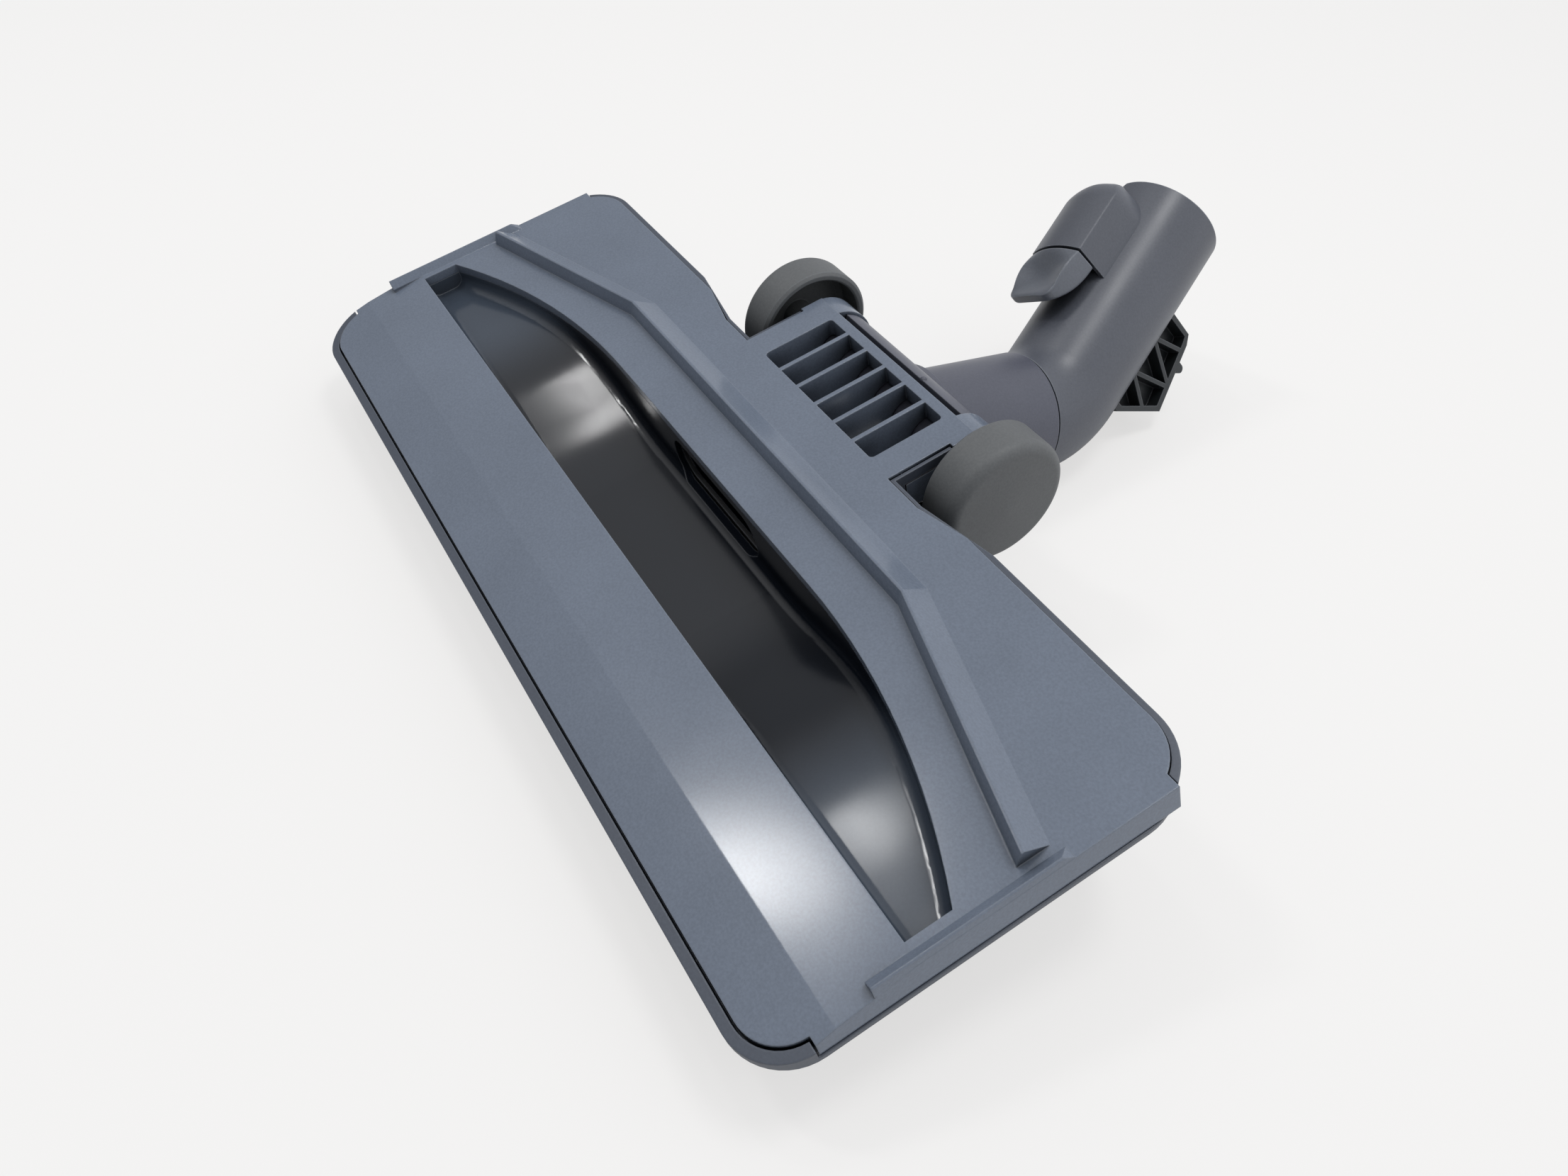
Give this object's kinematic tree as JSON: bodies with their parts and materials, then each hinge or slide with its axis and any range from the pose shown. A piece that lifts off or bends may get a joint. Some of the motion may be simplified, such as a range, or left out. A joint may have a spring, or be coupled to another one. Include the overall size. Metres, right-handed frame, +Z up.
{
  "type": "vacuum cleaner floor head",
  "caption": "Canister vacuum floor head lying sole up: suction channel, rear wheels, tilting neck, swivel elbow with a latched wand socket.",
  "frame": {"origin": "middle of the footprint, on the floor that the head lies on upside down", "axes": "+X along the head, +Y from its front edge towards the neck, +Z up, out of the sole; the sole slopes 13.1 degrees, because the head lies on its casing and on the rim of the wand socket"},
  "size_m": [0.276, 0.25, 0.073],
  "materials": {
    "sole": "semi-gloss moulded",
    "casing": "satin moulded",
    "liner": "glossy moulded",
    "seal": "soft foam",
    "steel": "drawn",
    "bush": "acetal",
    "wheel": "matte moulded",
    "neck": "satin moulded",
    "elbow": "satin moulded",
    "button": "satin moulded",
    "hook": "matte moulded"
  },
  "bodies": {
    "head": {"sole_plate": "sole", "upper_casing": "casing", "channel_liner": "liner", "suction_duct": "liner", "duct_gasket": "seal", "neck_bellows": "seal", "axle_rod": "steel", "axle_bushes": "bush", "wheel_washers": "bush"},
    "wheel_right": {"wheel_right": "wheel"},
    "wheel_left": {"wheel_left": "wheel"},
    "neck": {"neck_barrel": "neck", "neck_tube": "neck"},
    "elbow": {"elbow_tube": "elbow", "swivel_ring": "bush", "swivel_seal": "seal", "socket_seal": "seal", "latch_housing": "elbow", "latch_pin": "steel", "latch_spring": "steel", "parking_hook": "hook"},
    "latch_button": {"latch_button": "button"}
  },
  "joints": [
    {"name": "wheel_right_spin", "type": "hinge", "parent": "head", "child": "wheel_right", "pos_m": [0, -0.00493, 0.04075], "axis": [1, 0, 0], "continuous": true},
    {"name": "wheel_left_spin", "type": "hinge", "parent": "head", "child": "wheel_left", "pos_m": [0, -0.00493, 0.04075], "axis": [1, 0, 0], "continuous": true},
    {"name": "neck_tilt", "type": "hinge", "parent": "head", "child": "neck", "pos_m": [0, -0.00493, 0.04075], "axis": [1, 0, 0], "range_deg": [-45, 7], "deforming": ["neck_bellows"]},
    {"name": "elbow_swivel", "type": "hinge", "parent": "neck", "child": "elbow", "pos_m": [0, 0.04323, 0.01866], "axis": [0, 0.9909, -0.1349], "continuous": true},
    {"name": "latch_press", "type": "hinge", "parent": "elbow", "child": "latch_button", "pos_m": [-0.02198, 0.07447, 0.05298], "axis": [0.8669, 0.0672, 0.4939], "range_deg": [0, 6], "stiffness_Nm_per_rad": 0.25, "springref_deg": -2.86, "deforming": ["latch_spring"]}
  ]
}
